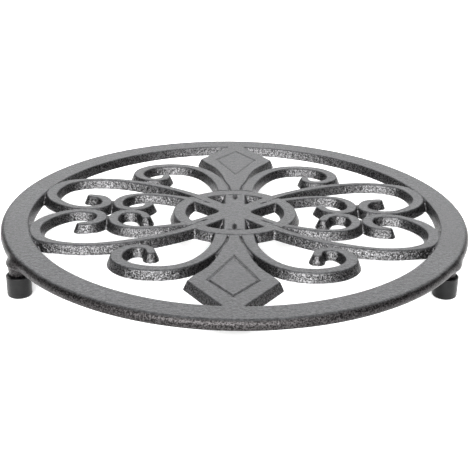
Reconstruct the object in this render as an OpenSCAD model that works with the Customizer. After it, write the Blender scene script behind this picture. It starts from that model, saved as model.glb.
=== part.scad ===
// Round cast trivet with scrollwork, standing on three legs with push-on rubber caps.
// The origin is at the middle of the rim, on the table. Z points up, and the front is towards -Y.

/* [Rim] */
// Widest diameter of the casting, round the middle of the rim's outer wall
overall_d = 200; // [160:1:260]
// Height of the pot face above the table
overall_h = 16.6; // [14:0.2:24]
// Width of the whole rim, from its inner edge to its widest line
rim_w = 11.5; // [9:0.1:14]
// Depth of the rim, from the pot face to its underside
rim_h = 4.1; // [3.8:0.1:6]
// Width of the rim's rounded outer shoulder
shoulder_w = 2.4; // [1.5:0.1:4]
// Depth of that shoulder, down to the rim's widest line
shoulder_h = 2.7; // [2:0.1:3.4]

/* [Scrollwork] */
// Depth of the scrollwork, from the pot face to its underside
bar_h = 3.8; // [3:0.1:4.4]
// How far a cast wall leans out for each millimetre down, so that it leaves the sand
draft = 0.42; // [0.2:0.02:0.5]
// Width and depth of the worn edge round every pot face
edge = 0.9; // [0.5:0.1:1.2]
// Width of a scroll bar where it is plain
scroll_w = 3.1; // [2.6:0.1:4]

/* [Medallion] */
// Diameter of the medallion's ring, to the middle of its band
ring_d = 45.6; // [42:0.2:50]
// Width of the ring's band
ring_w = 5.1; // [4:0.1:6]
// The ring's width as a share of its depth, because it is a little wider than round
ring_wide_share = 1.055; // [1:0.005:1.1]
// Width of the upright bar across the medallion
upright_w = 8.7; // [7:0.1:11]
// Length of the pointed groove at each end of the upright bar
slot_l = 7; // [4:0.5:9]
// Width of that groove at its open end
slot_w = 2.6; // [1.5:0.1:3.5]
// Depth of the grooves in the upright bar and in the diamonds
groove_h = 0.6; // [0.3:0.1:1]

/* [Diamonds] */
// Width of each diamond, across its corners
diamond_w = 32.8; // [28:0.2:38]
// Width of the line carved inside each diamond
line_w = 1.3; // [0.8:0.1:1.8]

/* [Legs] */
// Diameter of the peg at the end of each leg
peg_d = 6.6; // [5.5:0.1:8]
// Diameter of a leg just above its cap
neck_d = 7.6; // [6.8:0.1:9]
// Diameter of a leg at its root, where it widens into the rim's outer wall
leg_root_d = 11.4; // [9:0.1:14]
// How far inside the rim's widest line each leg stands
leg_inset = 3; // [2:0.1:5]

/* [Rubber caps] */
// Outer diameter of a cap
cap_d = 9.8; // [8.5:0.1:12]
// Height of a cap
cap_h = 8.7; // [7:0.1:10]
// Floor of a cap under the peg
cap_floor = 2.4; // [1.5:0.1:3.5]
// How much smaller a cap's bore is than the peg that it stretches over
grip = 0.1; // [0.05:0.01:0.2]
// Radius of a cap's rounded bottom edge
cap_round = 0.8; // [0.4:0.1:1.2]

/* [Hidden] */

// How far a cut runs past what it cuts
over = 0.5;

// Where the three legs stand, as angles round the rim. The front two are cast a little unevenly,
// so each leg also has its own share of leg_r, the usual distance from the middle.
leg_angles = [-149.3, -27.8, 91];
leg_shares = [1.012, 0.984, 1];

// How far down the rim's shoulder a leg's top stands
crown_share = 0.8;

// The pot face, and the radii of the rim's widest line and inner edge
top_z = overall_h;
rim_out_r = overall_d / 2;
rim_in_r = rim_out_r - rim_w;
leg_r = rim_out_r - leg_inset;

// The scrollwork is laid out in shares of this radius, which puts the rim's inner edge at 0.938
pattern_r = rim_in_r / 0.938;

// The way out from the middle of the ring's band to the rim's inner edge
function way_out(share) = ring_d / 2 + share * (rim_in_r - ring_d / 2);

// Big scroll of the front left quarter: places as shares of pattern_r, widths as shares of scroll_w.
// It leaves the hub, follows the diagonal arm, sweeps out to the rim and curls in.
big_shares = [
    [-0.040, -0.045, 1.40], [-0.150, -0.158, 1.42], [-0.200, -0.205, 1.12], [-0.270, -0.258, 1.00],
    [-0.370, -0.317, 1.02], [-0.500, -0.370, 0.95], [-0.630, -0.396, 0.82], [-0.743, -0.386, 0.95],
    [-0.830, -0.346, 1.38], [-0.877, -0.276, 1.55], [-0.886, -0.195, 1.50], [-0.852, -0.115, 1.35],
    [-0.790, -0.052, 1.10], [-0.735, -0.024, 1.05], [-0.672, -0.020, 1.15], [-0.619, -0.046, 1.25],
    [-0.604, -0.100, 1.32], [-0.632, -0.153, 1.20], [-0.690, -0.172, 0.85]
];

// Small scroll of the same quarter, which runs beside the arm and curls towards the middle
small_shares = [
    [-0.070, -0.030, 1.00], [-0.140, -0.094, 1.05], [-0.210, -0.145, 1.00], [-0.300, -0.182, 0.88],
    [-0.400, -0.204, 0.75], [-0.482, -0.193, 0.85], [-0.532, -0.154, 1.10], [-0.550, -0.095, 1.28],
    [-0.530, -0.036, 1.20], [-0.474, -0.016, 1.10], [-0.424, -0.038, 1.05], [-0.403, -0.077, 1.15]
];

// Fleur scroll of the same quarter, which leaves the ring beside the diamond's neck. Its way out is
// given as shares of the reach between the ring and the rim.
fleur_shares = [
    [-0.052, 0, 1.60], [-0.058, 0.034, 1.65], [-0.070, 0.156, 1.50], [-0.104, 0.306, 1.40],
    [-0.165, 0.446, 1.28], [-0.245, 0.526, 1.28], [-0.340, 0.543, 1.35], [-0.428, 0.506, 1.42],
    [-0.480, 0.428, 1.45], [-0.488, 0.338, 1.42], [-0.454, 0.259, 1.12], [-0.400, 0.233, 1.00],
    [-0.360, 0.262, 1.05], [-0.349, 0.315, 1.10]
];

// One side of the front diamond: half widths as shares of diamond_w, against the same way out
diamond_shares = [
    [0, 0.062], [0.041, 0.062], [0.127, 0.078], [0.227, 0.140], [0.342, 0.190],
    [0.457, 0.255], [0.543, 0.335], [0.629, 0.440], [0.701, 0.500]
];
diamond_end_shares = [1.010, 0.090];

// The line carved in it: near point, corners and far point
line_shares = [[0.364, 0], [0.687, 0.310], [0.914, 0]];

// The hub's outline in one quarter: its side tip, the middle of the arm and the upright bar
hub_shares = [[0.072, 0], [0.127, 0.110], [0.046, 0.088]];

// Depth of the step in the scrollwork's walls
step_h = bar_h / 3;

// Steps between two knots of a scroll, and steps round its tip
span_steps = 2;
tip_steps = 3;

function unit(v) = v / norm(v);
function left_of(v) = [-v[1], v[0]];

// A smooth curve that passes through every knot
function blend(a, b, c, d, t) =
    (2 * b + (c - a) * t + (2 * a - 5 * b + 4 * c - d) * t * t + (3 * b - a - 3 * c + d) * t * t * t) / 2;
function knot(k, i) = k[max(0, min(len(k) - 1, i))];
function curve(k) = concat(
    [for (i = [0:len(k) - 2], s = [0:span_steps - 1])
        blend(knot(k, i - 1), k[i], k[i + 1], knot(k, i + 2), s / span_steps)],
    [k[len(k) - 1]]);

// Scroll knots at their real size: x, y and half width. The fleur's are measured from the ring.
function sized(shares) = [for (s = shares) [s[0] * pattern_r, s[1] * pattern_r, s[2] * scroll_w / 2]];
function sized_from_ring(shares) =
    [for (s = shares) [s[0] * pattern_r, -way_out(s[1]), s[2] * scroll_w / 2]];

// The way along a chain of stations
function ahead(c, i) =
    let (a = c[max(0, i - 1)], b = c[min(len(c) - 1, i + 1)])
    unit([b[0] - a[0], b[1] - a[1]]);

// A round end, added past the last station
function tip(c) =
    let (e = c[len(c) - 1], v = ahead(c, len(c) - 1))
    [for (s = [1:tip_steps])
        let (a = 80 * s / tip_steps)
        [e[0] + v[0] * e[2] * sin(a), e[1] + v[1] * e[2] * sin(a), e[2] * cos(a)]];

// The closed outline of a bar: up its left side and back down its right side
function sides(c) = concat(
    [for (i = [0:len(c) - 1]) [c[i][0], c[i][1]] + left_of(ahead(c, i)) * c[i][2]],
    [for (i = [len(c) - 1:-1:0]) [c[i][0], c[i][1]] - left_of(ahead(c, i)) * c[i][2]]);

// The outline of a whole scroll through its knots
function scroll_outline(knots) =
    let (c = curve(knots))
    sides(concat(c, tip(c)));

// The rim: a flat pot face, a rounded outer shoulder and a leaning inner wall
module rim() {
    lean = draft * (rim_h - edge) + edge / 2;
    face_r = rim_out_r - shoulder_w;
    rotate_extrude($fn = 180) polygon(concat(
        [[rim_in_r - lean, top_z - rim_h], [rim_out_r - draft * (rim_h - shoulder_h) - edge / 2, top_z - rim_h]],
        [for (a = [90:-22.5:0]) [face_r + shoulder_w * sin(a), top_z - shoulder_h * (1 - cos(a))]],
        [[rim_in_r + edge / 2, top_z], [rim_in_r - edge / 2, top_z - edge]]
    ));
}

// Outline of the front diamond, from the medallion out to the rim
function diamond_outline() =
    let (d = diamond_w)
    sides(concat(
        [for (p = curve([for (s = diamond_shares) [-way_out(s[0]), s[1] * d, 0]])) [0, p[0], p[1]]],
        [[0, -way_out(diamond_end_shares[0]), diamond_end_shares[1] * d]]));

// Scrolls come in fours, one in each quarter, and diamonds come in twos
module in_quarters() {
    for (mx = [0, 1], my = [0, 1])
        mirror([mx, 0]) mirror([0, my]) children();
}

module in_halves() {
    for (my = [0, 1]) mirror([0, my]) children();
}

// The plan of the whole scrollwork
module pattern() {
    hub = [for (s = hub_shares) s * pattern_r];
    difference() {
        scale([ring_wide_share, 1]) circle(d = ring_d + ring_w, $fn = 96);
        scale([ring_wide_share, 1]) circle(d = ring_d - ring_w, $fn = 96);
    }
    square([upright_w, ring_d], center = true);
    in_halves() polygon(diamond_outline());
    in_quarters() {
        polygon(scroll_outline(sized(big_shares)));
        polygon(scroll_outline(sized(small_shares)));
        polygon(scroll_outline(sized_from_ring(fleur_shares)));
        polygon([[0, 0], hub[0], hub[1], hub[2], [0, hub[2][1]]]);
    }
}

// The plan of the carved lines: one inside each diamond, and a point in each end of the upright bar
module carving() {
    slot_y = (ring_d - ring_w) / 2;
    line = [for (s = line_shares) [s[1] * diamond_w, -way_out(s[0])]];
    corner = line[1];
    in_halves() {
        difference() {
            offset(delta = line_w / 2) polygon([line[0], corner, line[2], [-corner[0], corner[1]]]);
            offset(delta = -line_w / 2) polygon([line[0], corner, line[2], [-corner[0], corner[1]]]);
        }
        polygon([[-slot_w / 2, slot_y], [slot_w / 2, slot_y], [0, slot_y - slot_l]]);
    }
}

// One level of the scrollwork between two depths, with its outline moved out by the lean of its middle
module level(from, to) {
    lean = draft * ((from + to) / 2 - edge) + edge / 2;
    translate([0, 0, top_z - to]) linear_extrude(to - from) offset(delta = lean) pattern();
}

// The scrollwork: its walls lean out in one step, below the level that holds the carved lines
module scrollwork() {
    difference() {
        level(0, step_h);
        translate([0, 0, top_z - groove_h]) linear_extrude(groove_h + over) offset(delta = 0) carving();
    }
    level(step_h, bar_h);
}

// Leg number i: its peg, and above the cap a cone that widens into the rim's outer wall
module leg(i) {
    crown_z = top_z - shoulder_h * crown_share;
    rotate(leg_angles[i]) translate([leg_r * leg_shares[i], 0, 0]) {
        translate([0, 0, cap_floor]) cylinder(d = peg_d, h = cap_h - cap_floor, $fn = 72);
        translate([0, 0, cap_h]) cylinder(d1 = neck_d, d2 = leg_root_d, h = crown_z - cap_h, $fn = 72);
    }
}

module casting() {
    color([0.45, 0.45, 0.46]) {
        union() {
            rim();
            for (i = [0:2]) leg(i);
        }
        scrollwork();
    }
}

// The rubber cap on leg number i, pushed on until the peg meets its floor
module cap(i) {
    bore_r = peg_d / 2 - grip;
    r = cap_d / 2;
    color([0.16, 0.16, 0.17]) rotate(leg_angles[i]) translate([leg_r * leg_shares[i], 0, 0])
        rotate_extrude($fn = 96) polygon(concat(
            [[0, 0]],
            [for (a = [0:30:90]) [r - cap_round * (1 - sin(a)), cap_round * (1 - cos(a))]],
            [[r, cap_h], [bore_r, cap_h], [bore_r, cap_floor], [0, cap_floor]]
        ));
}

module cap_front_left() {
    cap(0);
}

module cap_front_right() {
    cap(1);
}

module cap_back() {
    cap(2);
}

casting();
cap_front_left();
cap_front_right();
cap_back();
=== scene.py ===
# %% [markdown]
# # A cast-iron trivet
# The real object is one iron casting with three legs, and a black rubber cap pushed over the end of
# each leg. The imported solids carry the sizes. They could be shown as they are, with a metal finish, but
# then every edge would be sharp. So this scene makes the casting anew with its draft, its worn edges and
# its fillets, and gives iron and rubber their finish.
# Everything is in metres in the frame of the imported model, and plans are drawn in millimetres.

import math

import bpy
import numpy as np
from mathutils import Matrix, Vector
from mathutils.geometry import delaunay_2d_cdt


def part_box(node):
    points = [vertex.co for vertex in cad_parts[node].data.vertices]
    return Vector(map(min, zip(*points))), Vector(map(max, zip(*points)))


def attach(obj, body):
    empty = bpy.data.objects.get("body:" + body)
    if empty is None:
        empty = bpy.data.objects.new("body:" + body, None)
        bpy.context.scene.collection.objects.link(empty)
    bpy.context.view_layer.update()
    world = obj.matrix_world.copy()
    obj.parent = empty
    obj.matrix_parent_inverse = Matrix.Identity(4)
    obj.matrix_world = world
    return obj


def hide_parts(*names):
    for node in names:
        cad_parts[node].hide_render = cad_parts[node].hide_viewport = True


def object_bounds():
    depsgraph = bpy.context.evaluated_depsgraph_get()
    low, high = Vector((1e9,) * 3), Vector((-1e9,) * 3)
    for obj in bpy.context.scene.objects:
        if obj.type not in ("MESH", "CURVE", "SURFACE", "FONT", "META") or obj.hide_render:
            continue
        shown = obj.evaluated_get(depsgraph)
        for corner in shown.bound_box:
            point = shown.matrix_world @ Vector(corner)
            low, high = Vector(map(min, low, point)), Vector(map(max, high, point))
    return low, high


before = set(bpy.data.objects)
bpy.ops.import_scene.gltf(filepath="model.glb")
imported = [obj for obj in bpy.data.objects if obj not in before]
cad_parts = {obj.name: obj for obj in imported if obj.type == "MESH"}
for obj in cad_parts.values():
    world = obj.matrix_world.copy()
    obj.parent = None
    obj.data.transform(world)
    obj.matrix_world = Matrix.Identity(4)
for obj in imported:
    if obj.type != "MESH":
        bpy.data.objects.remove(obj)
cad_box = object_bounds()
MM = 0.001
print("the packed model has", len(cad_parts), "nodes and spans", cad_box)

# %% [markdown]
# ## The camera
# The photograph looks down on the trivet at about 22 degrees, from 424 mm away, through a long lens.
# A camera could be placed by eye, but the far half of a flat ring shrinks quickly as the camera comes
# near, so the distance matters, and these numbers were fitted to the rim and the bars. The camera first
# looks at the middle of the pot face, and then tips and rolls a little, because the trivet isn't quite
# in the middle of the picture and the table wasn't quite level in it.

# %% The camera
TOP = cad_box[1][2] / MM
CAMERA_AWAY = 424.31
CAMERA_HEIGHT_ANGLE = 22.179
CAMERA_LENS = 74.484
FILM_W = 36
CAMERA_TURN, CAMERA_TIP, CAMERA_ROLL = -0.033, -1.402, 0.985


def make_camera():
    rise = math.radians(CAMERA_HEIGHT_ANGLE)
    away = Vector((0, -math.cos(rise), math.sin(rise))) * CAMERA_AWAY * MM
    place = Vector((0, 0, TOP * MM)) + away
    look = (-away).to_track_quat("-Z", "Y").to_matrix()
    look = look @ Matrix.Rotation(math.radians(CAMERA_TURN), 3, "Y")
    look = look @ Matrix.Rotation(math.radians(CAMERA_TIP), 3, "X")
    look = look @ Matrix.Rotation(math.radians(CAMERA_ROLL), 3, "Z")
    data = bpy.data.cameras.new("camera")
    data.lens = CAMERA_LENS
    data.sensor_width = FILM_W
    data.clip_start = 0.01
    camera = bpy.data.objects.new("camera", data)
    camera.matrix_world = Matrix.Translation(place) @ look.to_4x4()
    bpy.context.scene.collection.objects.link(camera)
    bpy.context.scene.camera = camera
    return place


print("the camera stands at", tuple(round(c, 3) for c in make_camera()))

# %% [markdown]
# ## Floor and light
# The photograph is a product picture on white. A plain pale floor and large soft lights come close to
# it. A picture of a studio could light the scene too, but lights that are built here are easy to move.
# The floor gives off a little light of its own, as a light table does, so that shadows stay faint.
# A low wide light behind makes the flat pot face brighter towards the back, a long one in front makes
# the leaning walls of the bars sparkle, and a large one above softens both. The standard view transform
# keeps the ground as white as it is in the photograph.

# %% The floor
FLOOR_SIZE = 6.0
FLOOR_PALE, FLOOR_ROUGH, FLOOR_GLOW = 0.9, 0.9, 0.35


def new_material(name):
    material = bpy.data.materials.new(name)
    material.use_nodes = True
    tree = material.node_tree
    return material, tree, tree.nodes["Principled BSDF"]


def make_floor():
    h = FLOOR_SIZE / 2
    mesh = bpy.data.meshes.new("floor")
    mesh.from_pydata([(-h, -h, 0), (h, -h, 0), (h, h, 0), (-h, h, 0)], [], [(0, 1, 2, 3)])
    floor = bpy.data.objects.new("floor", mesh)
    bpy.context.scene.collection.objects.link(floor)
    material, _, shader = new_material("pale floor")
    shader.inputs["Base Color"].default_value = (FLOOR_PALE, FLOOR_PALE, FLOOR_PALE, 1)
    shader.inputs["Roughness"].default_value = FLOOR_ROUGH
    shader.inputs["Emission Color"].default_value = (1, 1, 1, 1)
    shader.inputs["Emission Strength"].default_value = FLOOR_GLOW
    mesh.materials.append(material)


make_floor()

# %% The lights: name, place, width and height, power
WORLD_LIGHT = 0.12
LIGHTS = (
    ("back", (0.03, 0.56, 0.4), (1.1, 0.45), 7.9),
    ("front", (-0.15, -1.0, 0.58), (1.2, 0.32), 32),
    ("above", (0, -0.3, 1.05), (1.2, 1.0), 15),
)
LIGHTS_AIM = Vector((0, 0, 0.01))


def area_light(name, place, size, power):
    data = bpy.data.lights.new(name, "AREA")
    data.shape = "RECTANGLE"
    data.size, data.size_y = size
    data.energy = power
    light = bpy.data.objects.new(name, data)
    turn = (Vector(place) - LIGHTS_AIM).to_track_quat("Z", "Y")
    light.matrix_world = Matrix.Translation(place) @ turn.to_matrix().to_4x4()
    bpy.context.scene.collection.objects.link(light)


def make_world():
    world = bpy.data.worlds.new("studio")
    world.use_nodes = True
    world.node_tree.nodes["Background"].inputs["Color"].default_value = (1, 1, 1, 1)
    world.node_tree.nodes["Background"].inputs["Strength"].default_value = WORLD_LIGHT
    bpy.context.scene.world = world


make_world()
for name, place, size, power in LIGHTS:
    area_light(name, place, size, power)
bpy.context.scene.view_settings.view_transform = "Standard"
print(len(LIGHTS), "lights")

# %% [markdown]
# ## Helpers for materials
# Both finishes are built from the same few nodes: a noise of a known grain size, a range that stretches
# it, a mix, and a bump. They could be joined by hand in the shader editor. Small functions do it here,
# so that each finish reads as a short recipe, with its sizes in millimetres.

# %% Nodes with their inputs


def add(tree, kind, **values):
    node = tree.nodes.new(kind)
    for key, value in values.items():
        setattr(node, key, value)
    return node


def noise(tree, coords, size_mm, detail=3.0, roughness=0.55):
    node = add(tree, "ShaderNodeTexNoise")
    node.inputs["Scale"].default_value = 1 / (size_mm * MM)
    node.inputs["Detail"].default_value = detail
    node.inputs["Roughness"].default_value = roughness
    tree.links.new(coords, node.inputs["Vector"])
    return node.outputs["Fac"]


def spread(tree, value, low, high, to_low=0.0, to_high=1.0):
    node = add(tree, "ShaderNodeMapRange")
    node.inputs["From Min"].default_value = low
    node.inputs["From Max"].default_value = high
    node.inputs["To Min"].default_value = to_low
    node.inputs["To Max"].default_value = to_high
    tree.links.new(value, node.inputs["Value"])
    return node.outputs["Result"]


# %% Mixing and bumps


def mix_number(tree, factor, a, b):
    node = add(tree, "ShaderNodeMix", data_type="FLOAT")
    for socket, value in ((node.inputs["Factor"], factor), (node.inputs[2], a), (node.inputs[3], b)):
        if isinstance(value, (int, float)):
            socket.default_value = value
        else:
            tree.links.new(value, socket)
    return node.outputs[0]


def mix_colour(tree, factor, a, b):
    node = add(tree, "ShaderNodeMix", data_type="RGBA")
    tree.links.new(factor, node.inputs["Factor"])
    for socket, value in ((node.inputs[6], a), (node.inputs[7], b)):
        if isinstance(value, tuple):
            socket.default_value = (*value, 1)
        else:
            tree.links.new(value, socket)
    return node.outputs[2]


def bump(tree, height, distance_mm, strength, before=None):
    node = add(tree, "ShaderNodeBump")
    node.inputs["Distance"].default_value = distance_mm * MM
    node.inputs["Strength"].default_value = strength
    tree.links.new(height, node.inputs["Height"])
    if before:
        tree.links.new(before, node.inputs["Normal"])
    return node.outputs["Normal"]


# %% [markdown]
# ## Cast iron
# Sand leaves iron with a coarse, dark, glinting skin on its walls, and the pale specks in the colour of
# that skin are partly the iron's own grain and partly painted glints. The pot face is smoother and a
# little blue, because it is ground and rubbed, and the outside of the rim is rubbed too and faintly
# brown.
# These could be three materials on three sets of faces, but their borders would be hard lines. One
# material does all three: the height on the object tells the face from the walls, and the distance from
# the middle tells the outside of the rim. All patterns read Object coordinates, so they stay on the
# iron from every side.

# %% Where the iron is ground and rubbed
FACE_DEPTHS = (0.65, 0.15)
OUTSIDE_RADII = (91, 96)
OUTSIDE_SHARE = 0.8


def ground_face(tree, coords):
    """One on the pot face, and nothing a little way down the walls."""
    height = add(tree, "ShaderNodeSeparateXYZ")
    tree.links.new(coords, height.inputs[0])
    deep, shallow = ((TOP - depth) * MM for depth in FACE_DEPTHS)
    return spread(tree, height.outputs["Z"], deep, shallow)


def rubbed_outside(tree, coords):
    """Grows from nothing inside the rim to its share on the rim's outer wall."""
    flat = add(tree, "ShaderNodeVectorMath", operation="MULTIPLY")
    flat.inputs[1].default_value = (1, 1, 0)
    tree.links.new(coords, flat.inputs[0])
    away = add(tree, "ShaderNodeVectorMath", operation="LENGTH")
    tree.links.new(flat.outputs[0], away.inputs[0])
    near, far = (radius * MM for radius in OUTSIDE_RADII)
    return spread(tree, away.outputs["Value"], near, far, 0.0, OUTSIDE_SHARE)


# %% The iron's finish: darkest and palest colours, and roughness from smooth to rough
# The palest wall colours are partly the iron's own speckled grain and partly painted glints.
SKIN_AND_PAINTED_GLINTS = ((0.02, 0.0198, 0.02), (0.115, 0.114, 0.1165))
SIDE = ((0.01, 0.0091, 0.0091), (0.051, 0.0467, 0.047))
POT = ((0.009, 0.0092, 0.0102), (0.037, 0.0377, 0.041))
POT_CLOUD, CLOUD_SHARE = (0.018, 0.0177, 0.0186), 0.4
SKIN_ROUGH, WORN_ROUGH = (0.28, 0.4), (0.38, 0.54)
FACE_METALLIC = 0.5
LUMPS_MM, GRAIN_MM, PEEL_MM, CLOUDS_MM = 1.2, 0.55, 1.5, 14.0
GRAIN_AND_PAINTED_GLINTS = (0.42, 0.6)
LUMPS_DEEP, FINE_DEEP, BUMP_STRENGTH = 0.5, 0.22, 0.8


def cast_iron():
    material, tree, shader = new_material("cast iron")
    coords = add(tree, "ShaderNodeTexCoord").outputs["Object"]
    face = ground_face(tree, coords)
    outside = rubbed_outside(tree, coords)
    either = add(tree, "ShaderNodeMath", operation="MAXIMUM")
    tree.links.new(face, either.inputs[0])
    tree.links.new(outside, either.inputs[1])
    worn = either.outputs[0]

    lumps = noise(tree, coords, LUMPS_MM, 2.0, 0.6)
    grain = noise(tree, coords, GRAIN_MM, 2.0, 0.55)
    peel = noise(tree, coords, PEEL_MM, 3.0, 0.7)
    clouds = noise(tree, coords, CLOUDS_MM, 3.0, 0.5)

    # Pale specks in the wall colours: partly the iron's grain, partly painted glints.
    skin_and_glints = mix_colour(tree, spread(tree, grain, *GRAIN_AND_PAINTED_GLINTS), *SKIN_AND_PAINTED_GLINTS)
    side = mix_colour(tree, spread(tree, grain, *GRAIN_AND_PAINTED_GLINTS), *SIDE)
    pot = mix_colour(tree, spread(tree, peel, 0.4, 0.6), *POT)
    pot = mix_colour(tree, spread(tree, clouds, 0.35, 0.65, 0.0, CLOUD_SHARE), pot, POT_CLOUD)
    wall = mix_colour(tree, outside, skin_and_glints, side)
    tree.links.new(mix_colour(tree, face, wall, pot), shader.inputs["Base Color"])
    tree.links.new(spread(tree, face, 0.0, 1.0, 1.0, FACE_METALLIC), shader.inputs["Metallic"])

    skin_rough = spread(tree, lumps, 0.35, 0.65, *SKIN_ROUGH)
    worn_rough = spread(tree, grain, 0.35, 0.65, *WORN_ROUGH)
    tree.links.new(mix_number(tree, worn, skin_rough, worn_rough), shader.inputs["Roughness"])

    coarse = mix_number(tree, worn, lumps, 0.5)
    fine = mix_number(tree, worn, grain, spread(tree, peel, 0.2, 0.8))
    normal = bump(tree, coarse, LUMPS_DEEP, BUMP_STRENGTH)
    normal = bump(tree, fine, FINE_DEEP, BUMP_STRENGTH, normal)
    tree.links.new(normal, shader.inputs["Normal"])
    print(material.name, "has", len(tree.nodes), "nodes")
    return material


iron = cast_iron()

# %% [markdown]
# ## Rubber
# The caps are black moulded rubber, softly shiny where fingers have rubbed it, with a faint dust of
# mould powder. A plain black would do from far away. Here one noise makes patches of dust, which are
# both paler and duller, and a very fine one makes the pores that break up the shine.

# %% Rubber
RUBBER = ((0.002, 0.002, 0.0021), (0.006, 0.006, 0.0063))
RUBBER_ROUGH = (0.28, 0.42)
RUBBER_SHINE = 0.22
DUST_MM, PORES_MM = 2.5, 0.25
PORES_DEEP, PORES_STRENGTH = 0.1, 0.7


def black_rubber():
    material, tree, shader = new_material("black rubber")
    coords = add(tree, "ShaderNodeTexCoord").outputs["Object"]
    dust = noise(tree, coords, DUST_MM, 4.0, 0.6)
    pores = noise(tree, coords, PORES_MM, 2.0, 0.5)
    tree.links.new(mix_colour(tree, spread(tree, dust, 0.4, 0.75), *RUBBER), shader.inputs["Base Color"])
    tree.links.new(spread(tree, dust, 0.3, 0.7, *RUBBER_ROUGH), shader.inputs["Roughness"])
    shader.inputs["Specular IOR Level"].default_value = RUBBER_SHINE
    tree.links.new(bump(tree, pores, PORES_DEEP, PORES_STRENGTH), shader.inputs["Normal"])
    print(material.name, "has", len(tree.nodes), "nodes")
    return material


rubber = black_rubber()

# %% [markdown]
# ## The plan of the casting
# The scrollwork is a net of flat bars that cross, touch and run into the rim. The bars could be curves
# with a bevel, but curves that cross don't join, and joining them afterwards leaves a hard corner. So
# every bar is drawn as a line with a width, and a point on the plan has a distance to the edge of the
# nearest bar, below zero on the iron and above zero in a gap. Two distances that are nearly equal are
# blended, which gives the fillet that molten iron leaves in a corner. The scrolls are the same four times
# over, so the plan is measured in the front left quarter only.

# %% Sizes of the plan, in millimetres
RIM_OUT_R = cad_box[1][0] / MM
RIM_W = 11.5
RIM_IN_R = RIM_OUT_R - RIM_W
RIM_SHARE = 0.938
PATTERN_R = RIM_IN_R / RIM_SHARE
SCROLL_W = 3.1
RING_D, RING_W, RING_STRETCH = 45.6, 5.1, 1.055
RING_TURN = (172, 279, 4)
UPRIGHT_W = 8.7
DIAMOND_W = 32.8
FILLET = 0.4
print("the pattern is measured in shares of", round(PATTERN_R, 2), "mm")

# %% The scrolls: x, y and width at each knot, in shares of the pattern's radius and of a bar's width
BIG_SCROLL = (
    (-0.040, -0.045, 1.40), (-0.150, -0.158, 1.42), (-0.200, -0.205, 1.12), (-0.270, -0.258, 1.00),
    (-0.370, -0.317, 1.02), (-0.500, -0.370, 0.95), (-0.630, -0.396, 0.82), (-0.743, -0.386, 0.95),
    (-0.828, -0.346, 1.34), (-0.869, -0.274, 1.42), (-0.880, -0.195, 1.45), (-0.850, -0.115, 1.35),
    (-0.790, -0.052, 1.10), (-0.735, -0.024, 1.05), (-0.672, -0.020, 1.15), (-0.619, -0.046, 1.25),
    (-0.604, -0.100, 1.32), (-0.632, -0.153, 1.20), (-0.690, -0.172, 0.85),
)
SMALL_SCROLL = (
    (-0.070, -0.030, 1.00), (-0.140, -0.094, 1.05), (-0.210, -0.145, 1.00), (-0.300, -0.182, 0.88),
    (-0.400, -0.204, 0.75), (-0.482, -0.193, 0.85), (-0.532, -0.154, 1.10), (-0.550, -0.095, 1.28),
    (-0.530, -0.036, 1.20), (-0.474, -0.016, 1.10), (-0.424, -0.038, 1.05), (-0.403, -0.077, 1.15),
)
FLEUR = (
    (-0.058, -0.265, 1.65), (-0.070, -0.350, 1.50), (-0.104, -0.455, 1.40), (-0.165, -0.552, 1.28),
    (-0.245, -0.608, 1.28), (-0.340, -0.620, 1.35), (-0.428, -0.594, 1.42), (-0.480, -0.540, 1.45),
    (-0.488, -0.477, 1.42), (-0.454, -0.422, 1.12), (-0.400, -0.404, 1.00), (-0.360, -0.424, 1.05),
    (-0.349, -0.461, 1.10),
)

# %% The diamond and the hub: distances from the middle, and half widths
DIAMOND = (
    (0.270, 0.062), (0.330, 0.078), (0.400, 0.140), (0.480, 0.190), (0.560, 0.258),
    (0.620, 0.343), (0.680, 0.458), (0.728, 0.528),
)
DIAMOND_END = (0.960, 0.070)
HUB = ((0.072, 0), (0.127, 0.110), (0.046, 0.088))
print(len(BIG_SCROLL) + len(SMALL_SCROLL) + len(FLEUR), "knots draw three scrolls")

# %% Smooth lines through the knots
STEPS = 6


def blend(a, b, c, d, t):
    """The curve from b to c, which leaves and arrives in the directions that a and d give it."""
    square, cube = 2 * a - 5 * b + 4 * c - d, 3 * b - a - 3 * c + d
    return (2 * b + (c - a) * t + square * t**2 + cube * t**3) / 2


def smooth(knots):
    """A smooth curve through every knot."""
    k = np.array([knots[0], *knots, knots[-1]], float)
    t = np.arange(STEPS)[:, None] / STEPS
    spans = [blend(k[i], k[i + 1], k[i + 2], k[i + 3], t) for i in range(len(k) - 3)]
    return np.vstack([*spans, k[-1:]])


def scroll(knots):
    return smooth([(x * PATTERN_R, y * PATTERN_R, w * SCROLL_W / 2) for x, y, w in knots])


def ring_line():
    r = RING_D / 2
    turn = np.radians(np.arange(*RING_TURN))
    x, y = r * RING_STRETCH * np.cos(turn), r * np.sin(turn)
    return np.stack([x, y, np.full(len(turn), RING_W / 2)], 1)


# %% Outlines of the flat plates


def diamond_corners():
    side = smooth([(w * DIAMOND_W, r * PATTERN_R, 0) for r, w in DIAMOND])[:, :2]
    side = np.vstack([side, (DIAMOND_END[1] * DIAMOND_W, DIAMOND_END[0] * PATTERN_R)])
    return [(-x, -y) for x, y in side] + [(x, -y) for x, y in side[::-1]]


def hub_corners():
    quarter = [(x * PATTERN_R, y * PATTERN_R) for x, y in HUB]
    top = quarter + [(-x, y) for x, y in quarter[::-1]]
    return top + [(-x, -y) for x, y in quarter[1:]] + [(x, -y) for x, y in quarter[:0:-1]]


def upright_corners():
    w, h = UPRIGHT_W / 2, (RING_D - RING_W) / 2
    return [(-w, -h), (w, -h), (w, h), (-w, h)]


# %% Distances on the plan
FAR = 1e3


def bar_distance(x, y, line):
    """Distance to a bar whose line has a half width at each of its points."""
    best = np.full(x.shape, FAR)
    for (ax, ay, aw), (bx, by, bw) in zip(line[:-1], line[1:]):
        ux, uy = bx - ax, by - ay
        t = np.clip(((x - ax) * ux + (y - ay) * uy) / (ux * ux + uy * uy), 0, 1)
        best = np.minimum(best, np.hypot(x - ax - t * ux, y - ay - t * uy) - aw - t * (bw - aw))
    return best


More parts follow.
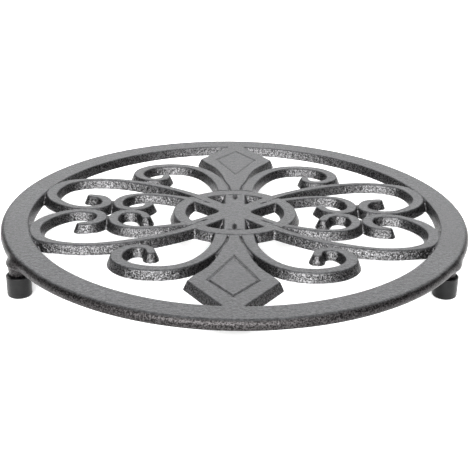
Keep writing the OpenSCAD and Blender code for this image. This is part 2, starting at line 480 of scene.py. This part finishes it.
def plate_distance(x, y, corners):
    """Distance to the edge of a flat plate, below zero inside it."""
    line = [(*c, 0) for c in corners] + [(*corners[0], 0)]
    inside = np.zeros(x.shape, bool)
    for (ax, ay, _), (bx, by, _) in zip(line[:-1], line[1:]):
        if ay == by:
            continue
        inside ^= ((ay > y) != (by > y)) & (x < ax + (y - ay) * (bx - ax) / (by - ay))
    away = bar_distance(x, y, line)
    return np.where(inside, -away, away)


def filleted(a, b, size):
    """The smaller of two distances, with a round corner of this size where they meet."""
    h = np.maximum(size - np.abs(a - b), 0) / size
    return np.minimum(a, b) - h * h * size / 4


# %% The plan, measured on a grid
CELL = 0.5
GRID_MARGIN = 12


def plan_distance(x, y):
    """Distance to the edge of the casting at points of the front left quarter."""
    d = RIM_IN_R - np.hypot(x, y)
    for line in (scroll(BIG_SCROLL), scroll(SMALL_SCROLL), scroll(FLEUR), ring_line()):
        d = filleted(d, bar_distance(x, y, line), FILLET)
    for corners in (diamond_corners(), upright_corners(), hub_corners()):
        d = filleted(d, plate_distance(x, y, corners), FILLET)
    return d


reach = int(RIM_OUT_R / CELL) + GRID_MARGIN
steps = CELL * np.arange(-reach, reach + 1)
grid_x, grid_y = np.meshgrid(steps, steps)
quarter = plan_distance(grid_x[: reach + 1, : reach + 1], grid_y[: reach + 1, : reach + 1])
half = np.hstack([quarter, quarter[:, -2::-1]])
inner_plan = np.vstack([half, half[-2::-1]])
print("plan measured at", inner_plan.size, "points")

# %% [markdown]
# ## The outside of the rim
# The rim bulges a little where each leg runs up into it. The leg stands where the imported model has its
# cap, and its root is a rounder lobe, which is blended into the circle of the rim. A second solid could
# be pushed into the rim for each lobe, but its seam would show. The same blend as between bars makes one
# surface. The pot face stays a plain circle: the bulge grows down the rim's shoulder.

# %% The outside of the rim
CAPS = ("cap_front_left", "cap_front_right", "cap_back")
ROOT_R = 4.1
ROOT_FILLET = 5.0


def middle_of(node):
    low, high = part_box(node)
    return np.array([(low[0] + high[0]) / 2, (low[1] + high[1]) / 2]) / MM


def outer_distance(x, y, bulge=1.0):
    """Distance to the rim's widest line, with this share of the bulges over the legs."""
    circle = np.hypot(x, y) - RIM_OUT_R
    d = circle
    for cap in CAPS:
        root = middle_of(cap)
        d = filleted(d, np.hypot(x - root[0], y - root[1]) - ROOT_R, ROOT_FILLET)
    return circle + (d - circle) * bulge


outer_plan = outer_distance(grid_x, grid_y)
print("the legs stand at", [tuple(middle_of(cap).round(1).tolist()) for cap in CAPS])

# %% [markdown]
# ## From distance to height
# The section of a cast bar is a rule: flat on top, a worn edge, a wall that leans out so that the
# pattern leaves the sand, and a flat underside. So the height of the iron at a point depends only on
# its distance to the edge. A grid of heights would be the quick way, but it makes steps along every
# slanting edge. Instead the mesh gets one contour line for each distance in the lists below, and the
# lines are joined by triangles. The edges then run along the bars, and stay crisp.

# %% The section of a bar and of the rim
DRAFT = 0.42
BAR_H, RIM_H = 3.8, 4.1
SHOULDER_W, SHOULDER_H = 2.4, 2.7
SHOULDER_STEPS = 5
WORN = 0.5
WORN_STEPS = 4
WALL_STEPS = 2
DEEPER_FROM, DEEPER_W = 6, 3


def bar_section():
    """Distance, depth and slope at each contour of a bar, from its flat face to its underside."""
    end = math.pi / 2 - math.atan(DRAFT)
    radius = WORN / math.tan(end / 2)
    rows = []
    for i in range(WORN_STEPS + 1):
        a = end * i / WORN_STEPS
        rows.append((radius * math.sin(a) - WORN, radius * (1 - math.cos(a)), math.tan(a)))
    start_d, start_h, slope = rows[-1]
    for i in range(1, WALL_STEPS + 1):
        h = start_h + (BAR_H - start_h) * i / WALL_STEPS
        rows.append((start_d + (h - start_h) * DRAFT, h, slope))
    return rows


def shoulder_section():
    """Distance, depth, direction and bulge down the outer shoulder, to the rim's widest line."""
    rows = []
    for i in range(SHOULDER_STEPS + 1):
        a = math.pi / 2 * i / SHOULDER_STEPS
        depth = 1 - math.cos(a)
        out = (SHOULDER_H * math.sin(a), SHOULDER_W * math.cos(a))
        rows.append((-SHOULDER_W * (1 - math.sin(a)), SHOULDER_H * depth, out, depth))
    return rows


def depth_under(points):
    """Depth of the underside: the bars grow a little deeper shortly before they reach the rim."""
    r = np.hypot(*np.array(points).T)
    return BAR_H + (RIM_H - BAR_H) * np.clip((r - RIM_IN_R + DEEPER_FROM) / DEEPER_W, 0, 1)


SECTION = bar_section()
FOOT = SECTION[-1][0]
print("the foot of a wall lies", round(FOOT, 2), "mm outside the plan")

# %% [markdown]
# ## Contour lines
# A contour line joins the points that have the same distance to the edge, like a height line on a map.
# Blender has no node that draws one, but the rule is simple. Wherever the distance passes the level
# between two neighbours of the grid, the line crosses there, and the crossings of each cell are joined.
# A grid point that lies nearly on the level is nudged off it, so that no triangle gets too small.

# %% Contour lines
NUDGE = 0.02 * CELL


def contour(field, level):
    """The line where the field has this level: its points, and the pairs of points that it joins."""
    v = field - level
    v = np.where(np.abs(v) < NUDGE, NUDGE, v)
    low = v < 0
    across = low[:, :-1] != low[:, 1:]
    upward = low[:-1, :] != low[1:, :]
    number = {}
    points = []
    for j, i in zip(*np.nonzero(across)):
        t = v[j, i] / (v[j, i] - v[j, i + 1])
        number["a", j, i] = len(points)
        points.append((steps[i] + t * CELL, steps[j]))
    for j, i in zip(*np.nonzero(upward)):
        t = v[j, i] / (v[j, i] - v[j + 1, i])
        number["u", j, i] = len(points)
        points.append((steps[i], steps[j] + t * CELL))
    pairs = []
    busy = across[:-1] | across[1:] | upward[:, :-1] | upward[:, 1:]
    for j, i in zip(*np.nonzero(busy)):
        sides = [("a", j, i), ("u", j, i + 1), ("a", j + 1, i), ("u", j, i)]
        hits = [number[s] for s in sides if s in number]
        if len(hits) == 2:
            pairs.append(tuple(hits))
        elif len(hits) == 4:
            if (v[j : j + 2, i : i + 2].mean() < 0) == low[j, i]:
                pairs += [(hits[0], hits[1]), (hits[2], hits[3])]
            else:
                pairs += [(hits[3], hits[0]), (hits[1], hits[2])]
    return points, pairs


# %% Values and directions between the grid's points


def sample(grid, points):
    """The grid's value at points between its nodes."""
    p = (np.array(points) - steps[0]) / CELL
    i = np.clip(p.astype(int), 0, len(steps) - 2)
    t = p - i
    x, y, u, v = i[:, 0], i[:, 1], t[:, 0], t[:, 1]
    near = grid[y, x] * (1 - u) + grid[y, x + 1] * u
    far = grid[y + 1, x] * (1 - u) + grid[y + 1, x + 1] * u
    return near * (1 - v) + far * v


def directions(field, points):
    """Which way the field grows at each point, as unit vectors."""
    grow_y, grow_x = np.gradient(field, CELL)
    d = np.stack([sample(grow_x, points), sample(grow_y, points)], 1)
    return d / np.maximum(np.linalg.norm(d, axis=1), 1e-6)[:, None]


def leaning(flat, side, up):
    """Unit normals from a direction on the plan, how much they lean that way, and how much up."""
    n = np.hstack([flat * side, np.full((len(flat), 1), up)])
    return n / np.linalg.norm(n, axis=1)[:, None]


# %% [markdown]
# ## The drawing and its triangles
# All contour lines go into one flat drawing, with the height and the normal of every point beside it.
# Bridging each pair of lines would be simple for a plain ring, but here lines part and join all the
# time. So a Delaunay triangulation that keeps the lines fills the whole drawing, and each patch between
# the foot lines is kept only where the plan says that there is iron. What lies outside the outermost
# line is never iron.

# %% The drawing
MERGE = 1e-5
UP, DOWN = (0.0, 0.0, 1.0), (0.0, 0.0, -1.0)


class Drawing:
    """Points and lines of a plan. Each point has a height and a normal, and a fence ends the iron."""

    def __init__(self):
        self.points, self.pairs, self.heights, self.normals, self.fences = [], [], [], [], set()

    def add(self, points, pairs, heights=0.0, normals=None, fence=False):
        first = len(self.points)
        if fence:
            self.fences.update(range(len(self.pairs), len(self.pairs) + len(pairs)))
        self.points += [tuple(p) for p in points]
        self.pairs += [(a + first, b + first) for a, b in pairs]
        self.heights += list(np.broadcast_to(heights, len(points)))
        self.normals += [UP] * len(points) if normals is None else list(normals)

    def faces(self):
        """The places, normals and triangles of the drawing where there is iron."""
        flat = [Vector(p) for p in self.points]
        found, edges, faces, source, edge_source, _ = delaunay_2d_cdt(flat, self.pairs, [], 0, MERGE)
        crossings = [i for i, v in enumerate(source) if not v]
        print(len(found), "points, and lines cross at", len(crossings))
        fence = {tuple(sorted(e)) for e, s in zip(edges, edge_source) if self.fences.intersection(s)}
        keep = self.iron(found, faces, fence)
        xy = np.array([tuple(p) for p in found])
        first = [s[0] if s else 0 for s in source]
        heights = np.array(self.heights)[first]
        normals = np.array(self.normals)[first]
        if crossings:
            distance = sample(inner_plan, xy[crossings])
            table = np.array(SECTION).T
            heights[crossings] = -np.interp(distance, table[0], table[1])
            slope = np.interp(distance, table[0], table[2])
            normals[crossings] = leaning(directions(inner_plan, xy[crossings]), slope[:, None], 1.0)
        return np.column_stack([xy, heights]), normals, np.array(faces)[keep]

    def iron(self, found, faces, fence):
        beside = {}
        for f, face in enumerate(faces):
            for a, b in zip(face, face[1:] + face[:1]):
                beside.setdefault((min(a, b), max(a, b)), []).append(f)
        near = [[] for _ in faces]
        outermost = []
        for edge, pair in beside.items():
            if edge in fence:
                continue
            if len(pair) == 1:
                outermost.append(pair[0])
            else:
                near[pair[0]].append(pair[1])
                near[pair[1]].append(pair[0])
        corners = np.array([[tuple(found[v]) for v in face] for face in faces])
        u, w = corners[:, 1] - corners[:, 0], corners[:, 2] - corners[:, 0]
        area = np.abs(u[:, 0] * w[:, 1] - u[:, 1] * w[:, 0])
        middle = corners.mean(1)
        gap = np.maximum(sample(inner_plan, middle) - FOOT, sample(outer_plan, middle))
        patch = np.full(len(faces), -1)
        votes = []
        for start in range(len(faces)):
            if patch[start] >= 0:
                continue
            patch[start] = len(votes)
            todo, vote = [start], 0.0
            while todo:
                f = todo.pop()
                vote += area[f] * (-1 if gap[f] > 0 else 1)
                for g in near[f]:
                    if patch[g] < 0:
                        patch[g] = len(votes)
                        todo.append(g)
            votes.append(vote)
        votes = np.array(votes)
        votes[patch[outermost]] = -1
        return votes[patch] > 0


# %% [markdown]
# ## Relief on the pot face
# A shallow line is carved inside each diamond, between the diamond's neck and the fleurs, round the ring
# and along the arms where they cross it, and each end of the upright bar has a scooped point. A bump in
# the material could fake them, but they would vanish from the mesh. Here every line is a real V: two
# lines on the face, and one at the bottom between them. The relief is a depth at each point, so the
# drawing only needs its lines.

# %% A carved line


def loop_pairs(count):
    return [(i, (i + 1) % count) for i in range(count)]


class Groove:
    """A carved line through some points. Open lines run to nothing at both ends."""

    def __init__(self, points, width, depth, closed=False):
        self.line = np.array(points, float)
        self.width, self.depth, self.closed = width, depth, closed

    def beside(self, by):
        p = self.line
        before, after = p - np.roll(p, 1, 0), np.roll(p, -1, 0) - p
        if not self.closed:
            before[0], after[-1] = after[0], before[-1]
        before /= np.linalg.norm(before, axis=1)[:, None]
        after /= np.linalg.norm(after, axis=1)[:, None]
        both = before + after
        out = np.stack([both[:, 1], -both[:, 0]], 1)
        return p + out * (2 * by / (out * out).sum(1))[:, None]

    def draw(self, drawing):
        half = self.width / 2
        if self.closed:
            for by in (-half, 0, half):
                drawing.add(self.beside(by), loop_pairs(len(self.line)))
            return
        left, right = self.beside(-half)[1:-1], self.beside(half)[1:-1]
        outline = np.vstack([self.line[:1], left, self.line[-1:], right[::-1]])
        drawing.add(outline, loop_pairs(len(outline)))
        drawing.add(self.line, [(i, i + 1) for i in range(len(self.line) - 1)])

    def depth_at(self, x, y):
        """Depth of the V at each point."""
        taper = np.ones(len(self.line))
        if not self.closed:
            taper[0] = taper[-1] = 0
        p = np.vstack([self.line, self.line[:1]]) if self.closed else self.line
        taper = np.append(taper, taper[0]) if self.closed else taper
        best = np.zeros(x.shape)
        for (ax, ay), (bx, by), ta, tb in zip(p[:-1], p[1:], taper[:-1], taper[1:]):
            ux, uy = bx - ax, by - ay
            t = np.clip(((x - ax) * ux + (y - ay) * uy) / (ux * ux + uy * uy), 0, 1)
            full = ta + t * (tb - ta)
            away = np.hypot(x - ax - t * ux, y - ay - t * uy) / (self.width / 2)
            best = np.maximum(best, np.maximum(full - away, 0) * self.depth)
        return best


# %% The carved lines: each ends with its width and its depth
DIAMOND_LINE = ((0.495, 0), (0.720, 0.290), (0.858, 0)), 1.5, 0.5
OUTER_ARC = (0.2, 251, 289, 11), 1.0, 0.5
INNER_ARC = (-0.1, 260.5, 279.5, 7), 0.9, 0.4
SCOOP = (0.4, 1.4, 5.0, 6.6), 2.2, 1.2
NECK_LINE = ((-2.3, -25.75), (-2.65, -28), (-3.15, -31.5)), 1.0, 0.7
ARM_LINE = (-0.9, 1.9), 0.9, 0.5
ARMPIT_LINE = ((-10.9, -9.2), (-12.2, -10.1), (-13.6, -11.2), (-15.0, -12.2)), 1.0, 0.8


def ring_arc(edge, away, start, end, count):
    """Part of a line round the ring, this far from one of its edges."""
    turn = np.radians(np.linspace(start, end, count))
    radius = edge + away
    return np.stack([radius * RING_STRETCH * np.cos(turn), radius * np.sin(turn)], 1)


def front_grooves():
    """The carved lines of the front half, and those of its left quarter that the right one mirrors."""
    corners, *diamond = DIAMOND_LINE
    near, corner, far = [(w * DIAMOND_W, -r * PATTERN_R) for r, w in corners]
    inside, outside = (RING_D - RING_W) / 2, (RING_D + RING_W) / 2
    arm = np.array(BIG_SCROLL)[1:4, :2] * PATTERN_R
    middle = [
        Groove([near, corner, far, (-corner[0], corner[1])], *diamond, closed=True),
        Groove(ring_arc(outside, *OUTER_ARC[0]), *OUTER_ARC[1:]),
        Groove(ring_arc(inside, *INNER_ARC[0]), *INNER_ARC[1:]),
        Groove([(0, y - inside) for y in SCOOP[0]], *SCOOP[1:]),
    ]
    side = [Groove(*NECK_LINE), Groove(arm + ARM_LINE[0], *ARM_LINE[1:]), Groove(*ARMPIT_LINE)]
    return middle, side


# %% The relief of the whole pot face
SLOPE_STEP = 0.02


def all_grooves():
    middle, side = front_grooves()
    grooves = []
    for flip_y in (1, -1):
        grooves += [Groove(g.line * (1, flip_y), g.width, g.depth, g.closed) for g in middle]
        for flip_x in (1, -1):
            grooves += [Groove(g.line * (flip_x, flip_y), g.width, g.depth) for g in side]
    return grooves


GROOVES = all_grooves()
print(len(GROOVES), "carved lines")


def relief(x, y):
    """Depth of the pot face below its plane."""
    return np.max([g.depth_at(x, y) for g in GROOVES], axis=0)


def relief_slope(x, y):
    e = SLOPE_STEP
    grow_x = (relief(x + e, y) - relief(x - e, y)) / (2 * e)
    grow_y = (relief(x, y + e) - relief(x, y - e)) / (2 * e)
    return np.stack([grow_x, grow_y], -1)


# %% [markdown]
# ## The top of the casting
# The top has the pot face, the walls of all bars and the rim's outer shoulder, down to its widest line.
# These could be three meshes, but then their borders would have to be stitched. One drawing holds them
# all: every contour of the bars, every contour of the shoulder, and every carved line.

# %% The top of the casting
top = Drawing()
for distance, depth, slope in SECTION:
    points, pairs = contour(inner_plan, distance)
    foot = distance == FOOT
    normals = leaning(directions(inner_plan, points), slope, 1.0)
    top.add(points, pairs, -depth_under(points) if foot else -depth, normals, fence=foot)
for distance, depth, (side, up), bulge in shoulder_section():
    field = outer_distance(grid_x, grid_y, bulge)
    points, pairs = contour(field, distance)
    normals = leaning(directions(field, points), side, up)
    top.add(points, pairs, -depth, normals, fence=distance == 0)
for groove in GROOVES:
    groove.draw(top)
top_faces = top.faces()
print("top:", len(top_faces[2]), "triangles")

# %% [markdown]
# ## Underside and outer wall
# Below its widest line the rim draws in a little, as the other half of the mould needs. The underside
# is flat, and ends at the same foot lines as the walls. The top could be thickened downwards by a
# modifier, but that would repeat the relief on the back, which a real casting leaves flat. So the
# underside is a second, simpler drawing, and two strips of triangles join it to the widest line.

# %% Underside and outer wall
UNDER_IN, UNDER_ROUND = 0.75, 0.35
UNDER_SHARE, UNDER_LEAN = 0.35, -2.0

edge_points, edge_pairs = contour(outer_plan, 0.0)
edge_points = np.array(edge_points)
edge_out = directions(outer_plan, edge_points)


def wall_ring(inward, depth, up):
    """The rim's widest line moved in and down, with its normals. The drawing rounds to single
    precision, and so does this, because the two have to meet."""
    place = np.column_stack([edge_points - edge_out * inward, np.full(len(edge_points), -depth)])
    return place.astype(np.float32), leaning(edge_out, 1.0, up)


rings = [
    wall_ring(0, SHOULDER_H, 0.0),
    wall_ring(UNDER_IN * UNDER_SHARE, RIM_H - UNDER_ROUND, -DRAFT),
    wall_ring(UNDER_IN, RIM_H, UNDER_LEAN),
]
foot_points, foot_pairs = contour(inner_plan, FOOT)
under = Drawing()
under.add(foot_points, foot_pairs, -depth_under(foot_points), [DOWN] * len(foot_points), fence=True)
under.add(rings[-1][0][:, :2], edge_pairs, -RIM_H, [DOWN] * len(edge_points), fence=True)
under_faces = under.faces()
print("underside:", len(under_faces[2]), "triangles")

# %% [markdown]
# ## One closed mesh
# A cast bar is flat on top and round only at its worn edges. Shading worked out from the triangles would
# smear that roundness over the flats, and flat shading would show every triangle. Each corner therefore
# keeps the normal that its contour line gave it. The carved lines are the one exception: they lower the
# corners and tilt the normals of the triangles that they pass through. At the end, points at the same
# place are welded, which closes the mesh.

# %% Triangles of the top, the wall and the underside


def facing(places, faces, up):
    """The triangles, turned so that they face up, or down."""
    a, b, c = (places[faces[:, k]] for k in range(3))
    turn = (b[:, 0] - a[:, 0]) * (c[:, 1] - a[:, 1]) - (b[:, 1] - a[:, 1]) * (c[:, 0] - a[:, 0])
    wrong = turn < 0 if up else turn > 0
    faces = faces.copy()
    faces[wrong] = faces[wrong][:, ::-1]
    return faces


def strip(low, high):
    """Triangles between two rings that have the same pairs."""
    corners, normals = [], []
    for a, b in edge_pairs:
        quad = [(high, a), (low, a), (low, b), (high, b)]
        u = quad[1][0][0][a] - quad[0][0][0][a]
        v = quad[2][0][0][b] - quad[0][0][0][a]
        if np.dot(np.cross(u, v)[:2], edge_out[a]) < 0:
            quad = quad[::-1]
        for k in ((0, 1, 2), (0, 2, 3)):
            corners.append([quad[i][0][0][quad[i][1]] for i in k])
            normals.append([quad[i][0][1][quad[i][1]] for i in k])
    return np.array(corners), np.array(normals)


# %% Carving
INWARD = 0.25


def carve(corners, lean):
    """Lowers the corners by the relief, and tilts their normals. The underside stays where it is."""
    near = (np.abs(corners[:, :, 2]) < BAR_H) & (np.hypot(corners[:, :, 0], corners[:, :, 1]) < RIM_IN_R)
    x, y, z = (corners[:, :, k] for k in range(3))
    deep = relief(x, y) * near
    inward = corners + INWARD * (corners.mean(1)[:, None, :] - corners)
    tilt = relief_slope(inward[:, :, 0], inward[:, :, 1]) * near[:, :, None] * lean[:, :, 2:]
    corners[:, :, 2] = z - deep * (BAR_H + z) / BAR_H
    lean[:, :, :2] += tilt
    lean /= np.linalg.norm(lean, axis=2)[:, :, None]


def gather():
    """Every triangle of the casting: its corners, and the normal at each corner."""
    parts = []
    for (places, normals, faces), up in ((top_faces, True), (under_faces, False)):
        faces = facing(places, faces, up)
        corners, lean = places[faces], normals[faces].copy()
        if up:
            carve(corners, lean)
        parts.append((corners, lean))
    parts += [strip(rings[i + 1], rings[i]) for i in range(len(rings) - 1)]
    return np.concatenate([p[0] for p in parts]), np.concatenate([p[1] for p in parts])


# %% The grille
WELD = 1e-4


def mesh_from(name, corners, normals, material):
    """A mesh object in metres from triangles in millimetres, welded where they meet."""
    flat = corners.reshape(-1, 3)
    keys = np.round(flat / WELD).astype(np.int64)
    _, first, index = np.unique(keys, axis=0, return_index=True, return_inverse=True)
    faces = index.reshape(-1, 3)
    whole = (faces[:, 0] != faces[:, 1]) & (faces[:, 1] != faces[:, 2]) & (faces[:, 0] != faces[:, 2])
    mesh = bpy.data.meshes.new(name)
    mesh.from_pydata((flat[first] * MM + (0, 0, TOP * MM)).tolist(), [], faces[whole].tolist())
    mesh.materials.append(material)
    mesh.polygons.foreach_set("use_smooth", [True] * len(mesh.polygons))
    mesh.normals_split_custom_set(normals[whole].reshape(-1, 3).tolist())
    piece = bpy.data.objects.new(name, mesh)
    bpy.context.scene.collection.objects.link(piece)
    print(name, len(mesh.polygons), "triangles")
    return piece


corners, normals = gather()
grille = mesh_from("grille", corners, normals, iron)
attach(grille, "root")
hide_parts("casting")

# %% [markdown]
# ## Legs
# Each leg tapers from its lobe under the rim to a round peg. A cone could be its body, but the real leg
# keeps its outer side nearly upright, flush with the lobe, and draws in from the other sides. So it is
# lofted through rings, and each ring has a radius and its own reach outwards from the peg.

# %% The rings of a leg: height, radius and reach outwards
PEG_R = 3.3
ROUND = 48
LEG_LEVELS = (
    (14.2, 3.0, 2.5), (13.7, 4.6, 3.95), (13.0, 5.0, 4.02), (12.3, 5.1, 3.96), (11.7, 4.75, 3.88),
    (11.0, 4.4, 3.8), (10.3, 4.05, 3.7), (9.5, 3.75, 3.6), (8.7, 3.5, 3.5), (8.5, PEG_R, PEG_R),
    (4.0, PEG_R, PEG_R),
)


def leg_rings(peg):
    """The rings of a leg that ends in a peg at this place: height, middle and radius of each."""
    inward = -peg / np.linalg.norm(peg)
    return [(z, peg + inward * (r - out), r) for z, r, out in LEG_LEVELS]


def lofted(name, rings, material):
    """A closed solid through round rings: height, middle and radius of each, from the top down."""
    turn = 2 * np.pi * np.arange(ROUND) / ROUND
    places = []
    for z, middle, r in rings:
        x, y = middle[0] + r * np.cos(turn), middle[1] + r * np.sin(turn)
        places.append(np.column_stack([x, y, np.full(ROUND, z)]))
    mesh = bpy.data.meshes.new(name)
    faces = [tuple(range(ROUND)), tuple(range(len(rings) * ROUND - 1, (len(rings) - 1) * ROUND - 1, -1))]
    for k in range(len(rings) - 1):
        for i in range(ROUND):
            j = (i + 1) % ROUND
            faces.append((k * ROUND + i, (k + 1) * ROUND + i, (k + 1) * ROUND + j, k * ROUND + j))
    mesh.from_pydata((np.vstack(places) * MM).tolist(), [], faces)
    mesh.materials.append(material)
    mesh.polygons.foreach_set("use_smooth", [len(p.vertices) == 4 for p in mesh.polygons])
    piece = bpy.data.objects.new(name, mesh)
    bpy.context.scene.collection.objects.link(piece)
    return piece


for cap in CAPS:
    leg = lofted(cap.replace("cap", "leg"), leg_rings(middle_of(cap)), iron)
    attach(leg, "root")
    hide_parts("casting")
    print(leg.name, len(leg.data.polygons), "faces")

# %% [markdown]
# ## Caps
# A cap is a small moulded cup of rubber, with a soft round edge at the bottom and a thin lip at its
# mouth. It could be cut from a cylinder, but turning a profile gives every rounding its own few steps.
# The cap is the same three times, so only one is made, at the origin, and Geometry Nodes set it on the
# point where each leg stands.

# %% One cap, at the origin
CAP_R, CAP_H, CAP_FLOOR = 4.9, 8.7, 2.4
CAP_ROUND, LIP_ROUND = 0.9, 0.25
CAP_SHARP = 50


def cap_profile():
    """Radius and height round a cap's wall, from the middle of its bottom to the middle of its floor."""
    turn = np.radians(np.arange(0, 91, 15))
    bottom = [(CAP_R - CAP_ROUND * (1 - math.sin(a)), CAP_ROUND * (1 - math.cos(a))) for a in turn]
    lip = [(CAP_R - LIP_ROUND * (1 - math.cos(a)), CAP_H - LIP_ROUND * (1 - math.sin(a))) for a in turn]
    return bottom + lip + [(PEG_R + LIP_ROUND, CAP_H), (PEG_R, CAP_H - LIP_ROUND), (PEG_R, CAP_FLOOR)]


def make_cap_mesh():
    profile = cap_profile()
    mesh = bpy.data.meshes.new("one cap")
    turn = 2 * np.pi * np.arange(ROUND) / ROUND
    places = [(r * math.cos(a), r * math.sin(a), z) for r, z in profile for a in turn]
    count = len(profile)
    faces = [tuple(range(ROUND - 1, -1, -1)), tuple(range((count - 1) * ROUND, count * ROUND))]
    for k in range(count - 1):
        for i in range(ROUND):
            j = (i + 1) % ROUND
            faces.append((k * ROUND + i, k * ROUND + j, (k + 1) * ROUND + j, (k + 1) * ROUND + i))
    mesh.from_pydata([(x * MM, y * MM, z * MM) for x, y, z in places], [], faces)
    mesh.polygons.foreach_set("use_smooth", [len(p.vertices) == 4 for p in mesh.polygons])
    mesh.set_sharp_from_angle(angle=math.radians(CAP_SHARP))
    return mesh


# %% A cap on every leg


def cap_tree():
    """Sets a cap on every point of the legs, makes them real, and gives them their rubber."""
    tree = bpy.data.node_groups.new("a cap on every leg", "GeometryNodeTree")
    tree.interface.new_socket("Legs", in_out="INPUT", socket_type="NodeSocketGeometry")
    tree.interface.new_socket("Cap", in_out="INPUT", socket_type="NodeSocketObject")
    tree.interface.new_socket("Rubber", in_out="INPUT", socket_type="NodeSocketMaterial")
    tree.interface.new_socket("Caps", in_out="OUTPUT", socket_type="NodeSocketGeometry")
    given = tree.nodes.new("NodeGroupInput")
    result = tree.nodes.new("NodeGroupOutput")
    info = tree.nodes.new("GeometryNodeObjectInfo")
    place = tree.nodes.new("GeometryNodeInstanceOnPoints")
    real = tree.nodes.new("GeometryNodeRealizeInstances")
    finish = tree.nodes.new("GeometryNodeSetMaterial")
    link = tree.links.new
    link(given.outputs["Legs"], place.inputs["Points"])
    link(given.outputs["Cap"], info.inputs["Object"])
    link(info.outputs["Geometry"], place.inputs["Instance"])
    link(place.outputs["Instances"], real.inputs["Geometry"])
    link(real.outputs["Geometry"], finish.inputs["Geometry"])
    link(given.outputs["Rubber"], finish.inputs["Material"])
    link(finish.outputs["Geometry"], result.inputs["Caps"])
    return tree


def make_caps():
    one = bpy.data.objects.new("one cap", make_cap_mesh())
    bpy.context.scene.collection.objects.link(one)
    stand = bpy.data.meshes.new("where the legs stand")
    stand.from_pydata([(*(middle_of(cap) * MM), 0) for cap in CAPS], [], [])
    holder = bpy.data.objects.new("caps", stand)
    bpy.context.scene.collection.objects.link(holder)
    tree = cap_tree()
    names = {s.name: s.identifier for s in tree.interface.items_tree if s.in_out == "INPUT"}
    modifier = holder.modifiers.new("caps", "NODES")
    modifier.node_group = tree
    modifier[names["Cap"]] = one
    modifier[names["Rubber"]] = rubber
    ready = holder.evaluated_get(bpy.context.evaluated_depsgraph_get())
    mesh = bpy.data.meshes.new_from_object(ready)
    holder.modifiers.remove(modifier)
    holder.data = mesh
    bpy.data.objects.remove(one)
    print("caps:", len(mesh.polygons), "faces")
    return holder


caps = make_caps()
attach(caps, "root")
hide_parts(*CAPS)
